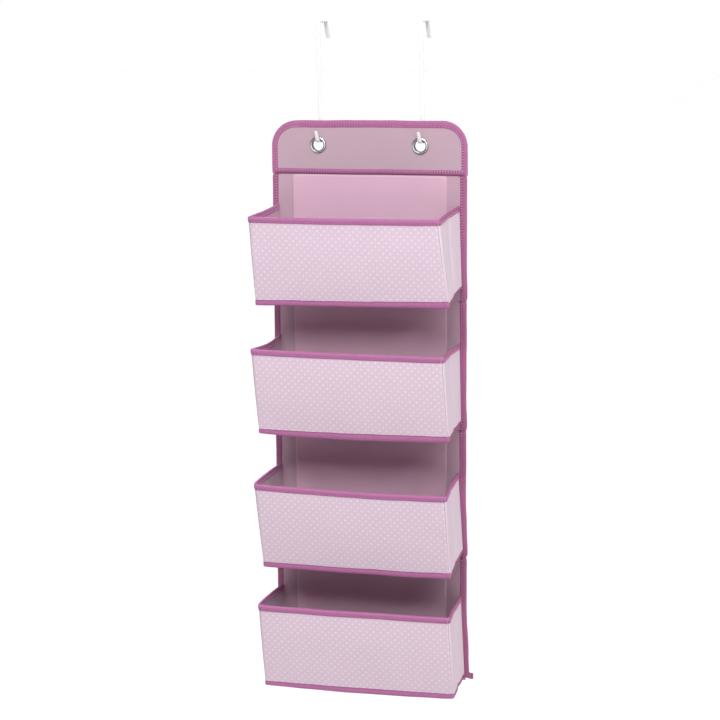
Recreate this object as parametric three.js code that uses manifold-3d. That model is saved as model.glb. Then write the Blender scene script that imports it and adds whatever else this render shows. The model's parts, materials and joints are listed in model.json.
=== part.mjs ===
// Over-the-door hanging organiser: a bound header on two steel hooks, and four hinged tiers
// with an open fabric box pocket each. Millimetres, +Z up, front towards -Y.
// The origin is on top of the door, midway between the hooks and through its thickness.
import * as THREE from "three";
import { mergeVertices } from "three/addons/utils/BufferGeometryUtils.js";
import Module from "manifold-3d";

// ---- driving dimensions ----
const WIDTH = 306;              // across the back, over its side bindings
const HEADER_TOP = -146;        // the header's top edge, below the door top
const HEADER_CORNER = 39;       // radius of the header's top corners
const HEADER_FOLD = -228;       // fold between the header and the first tier
const TIERS = 4;
const TIER_PITCH = 200;
const FIRST_RIM = -278;         // rim of the first pocket
const POCKET_HEIGHT = 132;      // front of a pocket, over its bindings
const POCKET_WIDTH = 294;       // across a pocket's front
const RIM_DEPTH = 140;          // back panel to the front's outer face, at the rim
const FLOOR_DEPTH = 112;        // the same at the floor: the front leans outwards
const FOLD_BELOW_POCKET = 8;    // from a pocket's floor down to the fold below it

const DOOR_GAP = 45;            // inside of each hook, over the door
const HOOK_WIDTH = 6;
const HOOK_STEEL = 2;
const HOOK_LIP = 24;            // how far a hook reaches down the far side of the door
const HOOK_TIP = 15;            // height of the turned-up end
const HOOK_TIP_LEAN = 4;        // how far the end leans out from the header
const HOOK_BEND = 3;            // where each rounded bend starts, from its corner
const HOOK_DROP = 2.4;          // the hook's level run, under the top of the grommet's hole
const HOOK_X = 79.5;            // hooks and grommets, each side of the middle

const GROMMET_Z = HEADER_TOP - 38;
const HOLE_RADIUS = 8.5;
const BARREL_WALL = 1;
const FLANGE_RADIUS = 12.5;
const FLANGE_HEIGHT = 1.6;
const WASHER_THICK = 0.8;

const GAP = 0.3;                // clearance between touching pieces
const TAPE = 0.7;               // thickness of the folded binding tape
const EDGE_BAND = 11;           // width of the bindings at the sides and over the header
const CROSS_BAND = 8;           // band across the header's foot
const HEM_BAND = 7;             // band under the last tier
const HEM_TAB = 8;              // loose end of the hem, past the right edge
const RIM_BAND = 9;
const BASE_BAND = 8;            // band under a pocket's front
const FABRIC = 0.8;
const LINING = 0.7;
const BOARD = 1.5;
const FRONT_FABRIC = 1;
const GUSSET = 1.2;
const BACK_BOARD_HALF = 120;
const BACK_BOARD_INSET = 6;
const FRONT_BOARD_INSET = 4;

// ---- places worked out from them, back to front ----
const HALF = WIDTH / 2;
const HOOK_FRONT = -DOOR_GAP / 2 - HOOK_STEEL;
const WASHER_BACK = HOOK_FRONT - GAP;
const STACK_BACK = WASHER_BACK - WASHER_THICK - GAP;
const BOARD_BACK = STACK_BACK - LINING - GAP;
const PANEL_BACK = BOARD_BACK - BOARD - GAP;
const STACK_FRONT = PANEL_BACK - FABRIC;
const TAPE_BACK = STACK_BACK + GAP + TAPE;
const TAPE_FRONT = STACK_FRONT - GAP - TAPE;
const POCKET_BACK = STACK_FRONT - GAP;
const FLANGE_BACK = STACK_FRONT - GAP;
const FLANGE_FRONT = FLANGE_BACK - FLANGE_HEIGHT;

const rimOf = (tier) => FIRST_RIM - TIER_PITCH * (tier - 1);
const floorOf = (tier) => rimOf(tier) - POCKET_HEIGHT;
const topOf = (tier) => (tier === 1 ? HEADER_FOLD : floorOf(tier - 1) - FOLD_BELOW_POCKET);
const footOf = (tier) => floorOf(tier) - FOLD_BELOW_POCKET;

// ---- materials ----
const fabric = (colour, roughness = 0.9) =>
  new THREE.MeshStandardMaterial({ color: colour, roughness, metalness: 0 });
const bindingTape = fabric(0xb8689f, 0.75);
const headerCloth = fabric(0xc4aab8);
const backCloth = fabric(0xcfa8bd);
const frontCloth = fabric(0xe0cbdb);
const gussetCloth = fabric(0xdccfdd);
const floorCloth = fabric(0xb79fb4);
const liningCloth = fabric(0xc9a9bd);
const greyBoard = fabric(0xb9ad9c, 0.95);
const whiteEnamel = new THREE.MeshStandardMaterial({ color: 0xf2f2f4, roughness: 0.35, metalness: 0.1 });
const chrome = new THREE.MeshStandardMaterial({ color: 0xc8c8cc, roughness: 0.15, metalness: 1 });

// ---- shape helpers ----
const at = (x, y) => new THREE.Vector2(x, y);

// Extrudes a shape drawn in (Y, Z) from x = from to x = to.
function extrudeAlongX(shape, from, to) {
  const geometry = new THREE.ExtrudeGeometry(shape, { depth: to - from, bevelEnabled: false });
  const basis = new THREE.Matrix4().makeBasis(
    new THREE.Vector3(0, 1, 0),
    new THREE.Vector3(0, 0, 1),
    new THREE.Vector3(1, 0, 0),
  );
  return geometry.applyMatrix4(basis).translate(from, 0, 0);
}

// Extrudes a shape drawn in (X, Z) forwards, from y = back to y = front.
function extrudeForwards(shape, back, front) {
  const options = { depth: back - front, bevelEnabled: false, curveSegments: 12 };
  const basis = new THREE.Matrix4().makeBasis(
    new THREE.Vector3(1, 0, 0),
    new THREE.Vector3(0, 0, 1),
    new THREE.Vector3(0, -1, 0),
  );
  return new THREE.ExtrudeGeometry(shape, options).applyMatrix4(basis).translate(0, back, 0);
}

// Extrudes a shape drawn in (X, Y) upwards, from z = low to z = high.
function extrudeUp(shape, low, high) {
  const options = { depth: high - low, bevelEnabled: false };
  return new THREE.ExtrudeGeometry(shape, options).translate(0, 0, low);
}

// A flat slab between two corners.
function slab(x0, x1, y0, y1, z0, z1) {
  const box = new THREE.BoxGeometry(x1 - x0, y1 - y0, z1 - z0);
  return box.translate((x0 + x1) / 2, (y0 + y1) / 2, (z0 + z1) / 2);
}

// A box whose corners are carried by place(u, v, w), each share being 0 or 1.
function carriedBox(place) {
  const box = new THREE.BoxGeometry(1, 1, 1).translate(0.5, 0.5, 0.5);
  const corners = box.attributes.position;
  for (let i = 0; i < corners.count; i += 1) {
    corners.setXYZ(i, ...place(corners.getX(i), corners.getY(i), corners.getZ(i)));
  }
  return box;
}

// The channel section of folded tape around an edge. It opens towards (0, -1),
// with its closed end at 0 and a slot from slotLow to slotHigh across.
function channel(slotLow, slotHigh, depth, carry) {
  const outline = [
    [slotLow - TAPE, -depth],
    [slotLow, -depth],
    [slotLow, -TAPE],
    [slotHigh, -TAPE],
    [slotHigh, -depth],
    [slotHigh + TAPE, -depth],
    [slotHigh + TAPE, 0],
    [slotLow - TAPE, 0],
  ];
  return new THREE.Shape(outline.map(([across, along]) => carry(across, along)));
}

// A strip of even thickness along a path, with its corners rounded.
function bentStrip(path, thickness, radius) {
  const line = path.flatMap((corner, i) => {
    if (i === 0 || i === path.length - 1) return [corner];
    const start = corner.clone().add(path[i - 1].clone().sub(corner).setLength(radius));
    const end = corner.clone().add(path[i + 1].clone().sub(corner).setLength(radius));
    return new THREE.QuadraticBezierCurve(start, corner, end).getPoints(4);
  });
  const side = (offset) => line.map((point, i) => {
    const before = line[Math.max(i - 1, 0)];
    const after = line[Math.min(i + 1, line.length - 1)];
    const along = after.clone().sub(before).normalize();
    return at(point.x - along.y * offset, point.y + along.x * offset);
  });
  return new THREE.Shape([...side(thickness / 2), ...side(-thickness / 2).reverse()]);
}

// The header's outline: square at the foot, round at the top corners.
function archShape(half, top, foot, radius) {
  const shape = new THREE.Shape();
  shape.moveTo(-half, foot);
  shape.lineTo(half, foot);
  shape.lineTo(half, top - radius);
  shape.absarc(half - radius, top - radius, radius, 0, Math.PI / 2);
  shape.lineTo(radius - half, top);
  shape.absarc(radius - half, top - radius, radius, Math.PI / 2, Math.PI);
  return shape;
}

// ---- booleans ----
const wasm = await Module();
wasm.setup();

function toSolid(geometry) {
  const bare = geometry.clone();
  bare.deleteAttribute("normal");
  bare.deleteAttribute("uv");
  const merged = mergeVertices(bare, 1e-4);
  return new wasm.Manifold(new wasm.Mesh({
    numProp: 3,
    vertProperties: Float32Array.from(merged.attributes.position.array),
    triVerts: Uint32Array.from(merged.index.array),
  }));
}

function toGeometry(solid) {
  const { vertProperties, triVerts } = solid.getMesh();
  const geometry = new THREE.BufferGeometry();
  geometry.setAttribute("position", new THREE.BufferAttribute(vertProperties, 3));
  geometry.setIndex(new THREE.BufferAttribute(triVerts, 1));
  return geometry;
}

// ---- hooks ----
function hook() {
  const middle = HOOK_STEEL / 2;
  const doorHalf = DOOR_GAP / 2;
  const saddle = GROMMET_Z + HOLE_RADIUS - HOOK_DROP - middle;
  const tipFoot = FLANGE_FRONT - 2 * GAP - middle;
  const path = [
    at(doorHalf + middle, -HOOK_LIP),
    at(doorHalf + middle, middle),
    at(-doorHalf - middle, middle),
    at(-doorHalf - middle, saddle),
    at(tipFoot, saddle),
    at(tipFoot - HOOK_TIP_LEAN, saddle + HOOK_TIP),
  ];
  return extrudeAlongX(bentStrip(path, HOOK_STEEL, HOOK_BEND), -HOOK_WIDTH / 2, HOOK_WIDTH / 2);
}

// ---- header ----
function headerPanel() {
  const edge = GAP + TAPE;
  const outline = archShape(HALF - edge, HEADER_TOP - edge, HEADER_FOLD + 2 * edge, HEADER_CORNER - edge);
  for (const x of [-HOOK_X, HOOK_X]) {
    const hole = new THREE.Path();
    hole.absarc(x, GROMMET_Z, HOLE_RADIUS + BARREL_WALL + GAP, 0, 2 * Math.PI, true);
    outline.holes.push(hole);
  }
  return extrudeForwards(outline, STACK_BACK, STACK_FRONT);
}

function headerBinding() {
  const foot = HEADER_FOLD + GAP;
  const cutFoot = foot - EDGE_BAND;
  const arch = (inset, low, back, front) => toSolid(extrudeForwards(
    archShape(HALF - inset, HEADER_TOP - inset, low, HEADER_CORNER - inset),
    back,
    front,
  ));
  const whole = arch(0, foot, TAPE_BACK, TAPE_FRONT);
  const slot = arch(TAPE, cutFoot, STACK_BACK + GAP, STACK_FRONT - GAP);
  const window = arch(EDGE_BAND, cutFoot, TAPE_BACK + TAPE, TAPE_FRONT - TAPE);
  return toGeometry(whole.subtract(slot).subtract(window));
}

function crossBinding() {
  const reach = HALF - EDGE_BAND - GAP;
  const carry = (across, along) => at(across, HEADER_FOLD + GAP - along);
  const section = channel(STACK_FRONT - GAP, STACK_BACK + GAP, CROSS_BAND, carry);
  return extrudeAlongX(section, -reach, reach);
}

// The eyelet is a barrel with a domed flange in front; a washer closes it behind.
function eyelet() {
  const barrel = HOLE_RADIUS + BARREL_WALL;
  const profile = [
    at(HOLE_RADIUS, WASHER_BACK),
    at(HOLE_RADIUS, FLANGE_FRONT + 0.5),
    at(HOLE_RADIUS + 0.6, FLANGE_FRONT),
    at(barrel + 0.8, FLANGE_FRONT),
    at(FLANGE_RADIUS, FLANGE_BACK - 0.4),
    at(FLANGE_RADIUS, FLANGE_BACK),
    at(barrel, FLANGE_BACK),
    at(barrel, WASHER_BACK),
    at(HOLE_RADIUS, WASHER_BACK),
  ];
  return new THREE.LatheGeometry(profile, 24);
}

function washer() {
  const inner = HOLE_RADIUS + BARREL_WALL + GAP;
  const outer = FLANGE_RADIUS - 0.5;
  const front = WASHER_BACK - WASHER_THICK;
  const profile = [
    at(inner, WASHER_BACK),
    at(inner, front),
    at(outer, front),
    at(outer, WASHER_BACK),
    at(inner, WASHER_BACK),
  ];
  return new THREE.LatheGeometry(profile, 24);
}

// ---- a tier's back ----
function edgeBinding(side, low, high) {
  const carry = (across, along) => at(side * (HALF + along), across);
  return extrudeUp(channel(STACK_FRONT - GAP, STACK_BACK + GAP, EDGE_BAND, carry), low, high);
}

function backLayer(half, back, thick, low, high) {
  return slab(-half, half, back - thick, back, low, high);
}

function hem() {
  const foot = footOf(TIERS);
  const carry = (across, along) => at(across, foot - along);
  const section = channel(STACK_FRONT - GAP, STACK_BACK + GAP, HEM_BAND, carry);
  return extrudeAlongX(section, -HALF, HALF + HEM_TAB);
}

// ---- a pocket ----
// The depth of the front's outer face, at a share of the pocket's height.
const depthAt = (share) => THREE.MathUtils.lerp(FLOOR_DEPTH, RIM_DEPTH, share);

// A point of the leaning front: offset back from its outer face, height over the floor.
function onFront(floor, offset, height) {
  return at(POCKET_BACK - depthAt(height / POCKET_HEIGHT) + offset, floor + height);
}

function frontLayer(floor, half, offset, thick, low, high) {
  const outline = [
    onFront(floor, offset, low),
    onFront(floor, offset + thick, low),
    onFront(floor, offset + thick, high),
    onFront(floor, offset, high),
  ];
  return extrudeAlongX(new THREE.Shape(outline), -half, half);
}

function rimBinding(floor) {
  const carry = (across, along) => onFront(floor, across, POCKET_HEIGHT + along);
  const section = channel(-GAP, FRONT_FABRIC + GAP, RIM_BAND, carry);
  return extrudeAlongX(section, -POCKET_WIDTH / 2 - TAPE, POCKET_WIDTH / 2 + TAPE);
}

function baseBinding(floor) {
  const carry = (across, along) => onFront(floor, across, -along);
  const section = channel(-GAP, FRONT_FABRIC + GAP, BASE_BAND, carry);
  return extrudeAlongX(section, -POCKET_WIDTH / 2 - TAPE, POCKET_WIDTH / 2 + TAPE);
}

// Gussets and floor stop behind the front's bindings.
const BEHIND_FRONT = FRONT_FABRIC + 2 * GAP + TAPE + GAP;
const GUSSET_BACK_HALF = HALF - EDGE_BAND - GAP;
const GUSSET_FRONT_HALF = POCKET_WIDTH / 2 - GAP;

function gusset(floor, side) {
  return carriedBox((across, back, up) => {
    const outer = THREE.MathUtils.lerp(GUSSET_FRONT_HALF, GUSSET_BACK_HALF, back);
    const inwards = side > 0 ? 1 - across : across;
    const front = POCKET_BACK - depthAt(up) + BEHIND_FRONT;
    const y = THREE.MathUtils.lerp(front, POCKET_BACK, back);
    return [side * (outer - GUSSET * inwards), y, floor + POCKET_HEIGHT * up];
  });
}

function pocketFloor(floor) {
  return carriedBox((across, back, up) => {
    const outer = THREE.MathUtils.lerp(GUSSET_FRONT_HALF, GUSSET_BACK_HALF, back);
    const half = outer - GUSSET - 2 * GAP;
    const front = POCKET_BACK - FLOOR_DEPTH + BEHIND_FRONT + GAP;
    const y = THREE.MathUtils.lerp(front, POCKET_BACK, back);
    return [(2 * across - 1) * half, y, floor + TAPE + GAP + GUSSET * up];
  });
}

// ---- assembly ----
function piece(name, geometry, material, x = 0, z = 0) {
  const mesh = new THREE.Mesh(geometry, material);
  mesh.name = name;
  mesh.position.set(x, 0, z);
  return mesh;
}

const SIDES = [["left", -1], ["right", 1]];
const group = new THREE.Group();

for (const [word, side] of SIDES) {
  group.add(piece(`over_door_hook_${word}`, hook(), whiteEnamel, side * HOOK_X));
}

const header = new THREE.Group();
header.add(
  piece("header_panel", headerPanel(), headerCloth),
  piece("header_binding", headerBinding(), bindingTape),
  piece("header_cross_binding", crossBinding(), bindingTape),
);
for (const [word, side] of SIDES) {
  header.add(
    piece(`grommet_eyelet_${word}`, eyelet(), chrome, side * HOOK_X, GROMMET_Z),
    piece(`grommet_washer_${word}`, washer(), chrome, side * HOOK_X, GROMMET_Z),
  );
}
group.add(header);

for (let tier = 1; tier <= TIERS; tier += 1) {
  const floor = floorOf(tier);
  const last = tier === TIERS;
  const top = topOf(tier) - GAP;
  const foot = footOf(tier) + (last ? TAPE + GAP : GAP);
  const edge = HALF - TAPE - GAP;
  const boardTop = top - BACK_BOARD_INSET;
  const boardFoot = foot + BACK_BOARD_INSET;
  const bandFoot = last ? footOf(tier) + HEM_BAND + GAP : foot;
  const back = new THREE.Group();
  back.add(
    piece(`back_panel_${tier}`, backLayer(edge, PANEL_BACK, FABRIC, foot, top), backCloth),
    piece(`back_board_${tier}`, backLayer(BACK_BOARD_HALF, BOARD_BACK, BOARD, boardFoot, boardTop), greyBoard),
    piece(`back_lining_${tier}`, backLayer(edge, STACK_BACK, LINING, foot, top), liningCloth),
  );
  const pocket = new THREE.Group();
  const clothLow = TAPE + GAP;
  const clothHigh = POCKET_HEIGHT - TAPE - GAP;
  const boardLow = BASE_BAND + GAP;
  const boardHigh = POCKET_HEIGHT - RIM_BAND - GAP;
  const frontHalf = POCKET_WIDTH / 2;
  const front = frontLayer(floor, frontHalf, 0, FRONT_FABRIC, clothLow, clothHigh);
  const stiffener = frontLayer(
    floor,
    frontHalf - FRONT_BOARD_INSET,
    FRONT_FABRIC + GAP,
    BOARD,
    boardLow,
    boardHigh,
  );
  pocket.add(
    piece(`front_panel_${tier}`, front, frontCloth),
    piece(`front_board_${tier}`, stiffener, greyBoard),
    piece(`rim_binding_${tier}`, rimBinding(floor), bindingTape),
    piece(`base_binding_${tier}`, baseBinding(floor), bindingTape),
    piece(`pocket_floor_${tier}`, pocketFloor(floor), floorCloth),
  );
  for (const [word, side] of SIDES) {
    back.add(piece(`edge_binding_${word}_${tier}`, edgeBinding(side, bandFoot, top), bindingTape));
    pocket.add(piece(`gusset_${word}_${tier}`, gusset(floor, side), gussetCloth));
  }
  group.add(back, pocket);
}
group.add(piece("bottom_hem", hem(), bindingTape));

export default group;
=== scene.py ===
"""The looks of an over-the-door hanging organiser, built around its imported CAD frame.

A bound header hangs by chrome grommets from two flat white hooks. Four tiers hang under it, each
a stiffened back with an open box pocket of dotted cloth. Lengths are in metres, +Z up, front -Y.
"""

import json
import math

import bmesh
import bpy
import numpy as np
from mathutils import Matrix, Vector, geometry, noise


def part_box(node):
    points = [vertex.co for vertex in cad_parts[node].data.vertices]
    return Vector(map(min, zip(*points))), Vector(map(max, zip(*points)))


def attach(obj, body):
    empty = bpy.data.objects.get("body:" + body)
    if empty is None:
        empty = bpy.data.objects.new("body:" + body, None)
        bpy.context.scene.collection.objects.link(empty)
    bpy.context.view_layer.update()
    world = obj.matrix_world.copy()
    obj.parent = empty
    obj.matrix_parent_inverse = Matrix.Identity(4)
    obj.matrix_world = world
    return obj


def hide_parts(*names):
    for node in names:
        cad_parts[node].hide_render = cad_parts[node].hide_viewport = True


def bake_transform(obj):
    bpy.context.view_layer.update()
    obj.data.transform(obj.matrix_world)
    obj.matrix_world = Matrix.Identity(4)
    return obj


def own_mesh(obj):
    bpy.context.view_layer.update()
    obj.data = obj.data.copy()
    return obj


MM = 0.001
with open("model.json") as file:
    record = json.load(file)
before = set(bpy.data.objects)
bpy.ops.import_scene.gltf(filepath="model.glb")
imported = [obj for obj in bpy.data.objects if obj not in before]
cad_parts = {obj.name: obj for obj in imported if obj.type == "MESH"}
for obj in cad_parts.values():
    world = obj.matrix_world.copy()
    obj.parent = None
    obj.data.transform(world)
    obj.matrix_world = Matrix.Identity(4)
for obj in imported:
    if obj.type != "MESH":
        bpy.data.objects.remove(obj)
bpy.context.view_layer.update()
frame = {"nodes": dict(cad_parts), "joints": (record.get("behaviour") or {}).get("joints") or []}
TIERS = (1, 2, 3, 4)


# ---------------- node graphs
class Graph:
    """The nodes of a material or a world, with one short call for each kind used here."""

    def __init__(self, name, kind=bpy.data.materials):
        self.owner = kind.new(name)
        self.owner.use_nodes = True
        self.tree = self.owner.node_tree

    def put(self, socket, value):
        if isinstance(value, bpy.types.NodeSocket):
            self.tree.links.new(value, socket)
        else:
            socket.default_value = value

    def node(self, kind, inputs=(), **settings):
        made = self.tree.nodes.new("ShaderNode" + kind)
        for key, value in settings.items():
            setattr(made, key, value)
        for key, value in dict(inputs).items():
            self.put(made.inputs[key], value)
        return made

    def place(self, kind):
        """The place on the piece, by its own axes (Object) or its UV map (UV)."""
        return self.node("TexCoord").outputs[kind]

    def math(self, operation, a, b=0.0):
        return self.node("Math", {0: a, 1: b}, operation=operation).outputs[0]

    def times(self, a, b):
        return self.math("MULTIPLY", a, b)

    def gap(self, a, b):
        """How far apart two values are."""
        return self.math("ABSOLUTE", self.math("SUBTRACT", a, b))

    def length(self, a, b):
        square = self.math("ADD", self.math("POWER", a, 2.0), self.math("POWER", b, 2.0))
        return self.math("SQRT", square)

    def blend(self, factor, a, b, **settings):
        return self.node("Mix", {0: factor, 6: a, 7: b}, data_type="RGBA", **settings).outputs[2]

    def ramp(self, value, low, high, start=0.0, end=1.0):
        inputs = {"Value": value, "From Min": low, "From Max": high, "To Min": start, "To Max": end}
        return self.node("MapRange", inputs).outputs["Result"]

    def noise(self, place, scale, detail, roughness=0.5):
        inputs = {"Vector": place, "Scale": scale, "Detail": detail, "Roughness": roughness}
        return self.node("TexNoise", inputs).outputs["Fac"]

    def millimetres(self, place, axes="XY"):
        """Two of a place's coordinates in millimetres, one by one and as a flat place."""
        split = self.node("SeparateXYZ", {0: place})
        across, along = (self.times(split.outputs[axis], 1 / MM) for axis in axes)
        return across, along, self.node("CombineXYZ", {0: across, 1: along}).outputs[0]

    def paint(self, looks):
        shader = self.tree.nodes["Principled BSDF"]
        for key, value in looks.items():
            self.put(shader.inputs[key], value)
        return self.owner

    def finish(self, colour, height, roughness, sheen, depth, metallic=0.0):
        bump = self.node("Bump", {"Height": height, "Strength": 0.6, "Distance": depth})
        return self.paint({
            "Base Color": colour,
            "Normal": bump.outputs[0],
            "Roughness": roughness,
            "Metallic": metallic,
            "Sheen Weight": sheen,
            "Sheen Roughness": 0.5,
            "Specular IOR Level": 0.25,
        })


# ---------------- camera, floor and light
AZIMUTH, ELEVATION, ROLL = 14.06, 9.89, -0.33
DISTANCE = 3.113
AIM = Vector((-0.0081, -0.06, -0.5086))
LENS = 101.9
MIDDLE_TIER = Vector((0, -0.1, -0.5))
FLOOR_HALF, FLOOR_HEIGHT = 60, -2.05
FILL_BELOW, FILL_ABOVE, HORIZON = 0.98, 0.17, 0.15


def add_object(name, data):
    made = bpy.data.objects.new(name, data)
    bpy.context.scene.collection.objects.link(made)
    return made


def direction(azimuth, elevation):
    """A way out from the part: azimuth 0 is to the front, positive to the right."""
    a, e = math.radians(azimuth), math.radians(elevation)
    return Vector((math.sin(a) * math.cos(e), -math.cos(a) * math.cos(e), math.sin(e)))


def make_camera():
    a, r = math.radians(AZIMUTH), math.radians(ROLL)
    back = direction(AZIMUTH, ELEVATION)
    level = Vector((math.cos(a), math.sin(a), 0))
    upright = back.cross(level)
    right = level * math.cos(r) + upright * math.sin(r)
    up = back.cross(right)
    camera = add_object("camera", bpy.data.cameras.new("camera"))
    camera.data.lens = LENS
    camera.data.sensor_width = 36
    camera.data.clip_end = 100
    turn = Matrix((right, up, back)).transposed().to_4x4()
    camera.matrix_world = Matrix.Translation(AIM + back * DISTANCE) @ turn
    bpy.context.scene.camera = camera


def make_sun(name, azimuth, elevation, strength, softness):
    """A soft light from one direction."""
    light = bpy.data.lights.new(name, "SUN")
    light.energy = strength * math.pi
    light.angle = math.radians(softness)
    sun = add_object(name, light)
    sun.rotation_mode = "QUATERNION"
    sun.rotation_quaternion = direction(azimuth, elevation).to_track_quat("Z", "Y")


def make_lamp(name, place, strength, radius):
    """A soft round light at a place, as bright on the middle tier as a sun of the same strength."""
    light = bpy.data.lights.new(name, "POINT")
    light.energy = strength * 4 * math.pi**2 * (Vector(place) - MIDDLE_TIER).length_squared
    light.shadow_soft_size = radius
    add_object(name, light).location = place


def make_world():
    """A pale surround: white to look at, and a soft fill that comes mostly from below."""
    graph = Graph("surround", bpy.data.worlds)
    bpy.context.scene.world = graph.owner
    graph.tree.nodes.clear()
    height = graph.node("SeparateXYZ", {0: graph.place("Generated")}).outputs[2]
    strength = graph.ramp(height, -HORIZON, HORIZON, FILL_BELOW, FILL_ABOVE)
    fill = graph.node("Background", {"Color": (1, 0.9, 0.945, 1), "Strength": strength})
    seen = graph.node("Background", {"Color": (1, 1, 1, 1)})
    to_camera = graph.node("LightPath").outputs["Is Camera Ray"]
    mix = graph.node("MixShader", {0: to_camera, 1: fill.outputs[0], 2: seen.outputs[0]})
    graph.node("OutputWorld", {"Surface": mix.outputs[0]})


def make_floor():
    corners = [(-1, -1), (1, -1), (1, 1), (-1, 1)]
    mesh = bpy.data.meshes.new("floor")
    points = [(x * FLOOR_HALF, y * FLOOR_HALF, FLOOR_HEIGHT) for x, y in corners]
    mesh.from_pydata(points, [], [(0, 1, 2, 3)])
    paint = Graph("floor_paint").paint({"Base Color": (0.99, 0.99, 0.99, 1), "Roughness": 0.9})
    mesh.materials.append(paint)
    floor = add_object("floor", mesh)
    floor.visible_diffuse = False


make_camera()
make_world()
make_floor()
make_lamp("key_light", (0.25, -2.7, 1.35), 0.55, 0.55)
make_lamp("low_light", (1.0, -1.9, 0.45), 0.10, 0.13)
make_lamp("side_light", (1.35, -1.35, 0.4), 0.12, 0.13)
make_sun("left_light", -25, 55, 0.30, 25)
make_sun("front_light", 10, 55, 0.10, 25)
make_sun("high_light", 40, 55, 0.25, 25)
make_sun("right_light", 85, 20, 0.27, 20)
make_sun("back_light", 200, 35, 0.4, 30)
bpy.context.scene.view_settings.view_transform = "Standard"


# ---------------- sizes from the frame
def height_of(node):
    low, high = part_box(node)
    return high.z - low.z


header_low, header_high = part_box("header_binding")
HALF = header_high.x
HEADER_TOP = header_high.z
HEADER_FOOT = header_low.z
TAPE_MIDDLE = (header_low.y + header_high.y) / 2
TAPE_HALF = (header_high.y - header_low.y) / 2 * 0.82
EDGE_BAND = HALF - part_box("header_cross_binding")[1].x
CORNER = 39 * MM
STACK_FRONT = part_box("header_panel")[0].y
STACK_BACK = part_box("header_panel")[1].y
BOARD_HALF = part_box("back_board_1")[1].x
POCKET_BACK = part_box("gusset_left_1")[1].y
FRONT_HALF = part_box("front_panel_1")[1].x
CROSS_BAND = height_of("header_cross_binding")
RIM_BAND = height_of("rim_binding_1")
BASE_BAND = height_of("base_binding_1")
SIDE_BASE_BAND = 5 * MM
RIM_DEPTH = POCKET_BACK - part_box("rim_binding_1")[0].y
FLOOR_DEPTH = RIM_DEPTH - 28 * MM  # a pocket is less deep at its floor than at its rim
RIM_HALF, BASE_HALF, SIDE_HALF = 2.3 * MM, 2.2 * MM, 1.5 * MM  # half of each tape's thickness
CLOTH = 0.6 * MM
TAPE_LAP = 2.6 * MM  # from a tape's free edge to its row of stitches
STITCH_PITCH = 4.2 * MM
STITCH_LENGTH = 2.3 * MM
STITCH_RADIUS = 0.8 * MM
FORWARD = np.array([0.0, -1.0, 0.0])
UPWARD = np.array([0.0, 0.0, 1.0])
SIDES = (("left", -1), ("right", 1))


# ---------------- materials
def tint(colour, scale):
    return tuple(min(1.0, c * scale) for c in colour) + (1,)


CLOTH_SHEEN, CLOTH_RELIEF = 0.12, 0.12 * MM


def spunbond(graph, colour, axes):
    """Non-woven cloth: pressed dimples on a fine grid, loose fibres and faint clouding."""
    across, along, place = graph.millimetres(graph.place("Object"), axes)
    grid = {"Vector": place, "Scale": 0.72, "Randomness": 0.0}
    dimples = graph.node("TexVoronoi", grid, voronoi_dimensions="2D")
    pressed = graph.ramp(dimples.outputs["Distance"], 0.18, 0.5)
    fibres = graph.noise(place, 1.6, 5.0)
    cloudy = graph.ramp(graph.noise(place, 0.02, 3.0), 0.3, 0.7, 0.0, 0.35)
    mixed = graph.blend(fibres, tint(colour, 0.95), tint(colour, 1.05))
    mixed = graph.blend(cloudy, mixed, tint(colour, 0.93))
    mixed = graph.blend(graph.ramp(pressed, 0.0, 1.0, 0.25, 0.0), mixed, tint(colour, 0.86))
    height = graph.math("ADD", pressed, graph.times(fibres, 0.8))
    return mixed, height, across, along, place


def cloth(name, colour, axes):
    graph = Graph(name)
    mixed, height, *_ = spunbond(graph, colour, axes)
    return graph.finish(mixed, height, 0.86, CLOTH_SHEEN, CLOTH_RELIEF)


def back_cloth(name, colour, board_colour, half):
    """Plain cloth that shows pinker where it is stretched over the board behind it."""
    graph = Graph(name)
    mixed, height, across, *_ = spunbond(graph, colour, "XZ")
    off_middle = graph.math("ABSOLUTE", across)
    share = graph.ramp(off_middle, half / MM - 0.9, half / MM + 0.6, 1.0, 0.0)
    ratio = tuple(b / c for b, c in zip(board_colour, colour)) + (1,)
    stretched = graph.blend(share, mixed, ratio, blend_type="MULTIPLY")
    return graph.finish(stretched, height, 0.86, CLOTH_SHEEN, CLOTH_RELIEF)


DOT_ACROSS, DOT_ALONG = 10.8, 10.7  # the dots' spacing in millimetres
DOT_RADIUS, DOT_BLUR = 1.65, 0.45
SEAM = 0.4735  # how far from its middle, as a share of its width, a front is sewn to its sides


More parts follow.
